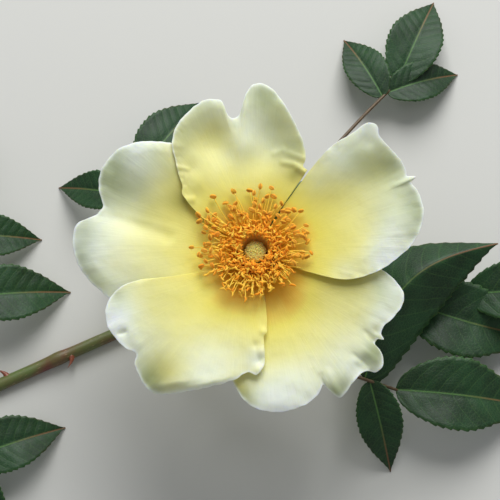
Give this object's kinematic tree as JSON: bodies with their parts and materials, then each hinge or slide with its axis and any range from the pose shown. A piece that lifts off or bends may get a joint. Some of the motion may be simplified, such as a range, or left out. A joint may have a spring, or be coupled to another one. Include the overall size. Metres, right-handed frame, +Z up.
{
  "type": "cut rose flowering shoot",
  "caption": "Open cream-yellow single rose bloom on a short leafy cut stem, lying down with the bloom facing up.",
  "frame": {"origin": "on the floor under the middle of the shoot's bounding box", "axes": "+Z up, the way the bloom faces; +X to the right along the shoot, away from the cut end; +Y away from a viewer who stands at the bloom's lower side"},
  "size_m": [0.2581, 0.1872, 0.0559],
  "materials": {
    "petal_tissue": "soft satin",
    "stamen_gold": "matte",
    "style_green": "matte",
    "green_skin": "satin",
    "leaf_blade": "glossy",
    "stem_bark": "satin"
  },
  "bodies": {
    "root": {"stem": "stem_bark", "flower_stalk": "green_skin", "hip": "green_skin", "sepal_1": "green_skin", "sepal_2": "green_skin", "sepal_3": "green_skin", "sepal_4": "green_skin", "sepal_5": "green_skin", "petal_top": "petal_tissue", "petal_right": "petal_tissue", "petal_lower_right": "petal_tissue", "petal_lower_left": "petal_tissue", "petal_left": "petal_tissue", "stamens": "stamen_gold", "styles": "style_green", "leaf_right_front": "leaf_blade", "leaf_right_back": "leaf_blade", "leaf_upper_right": "leaf_blade", "leaf_upper_left": "leaf_blade", "leaf_left": "leaf_blade", "leaf_lower_left": "leaf_blade"}
  },
  "joints": []
}
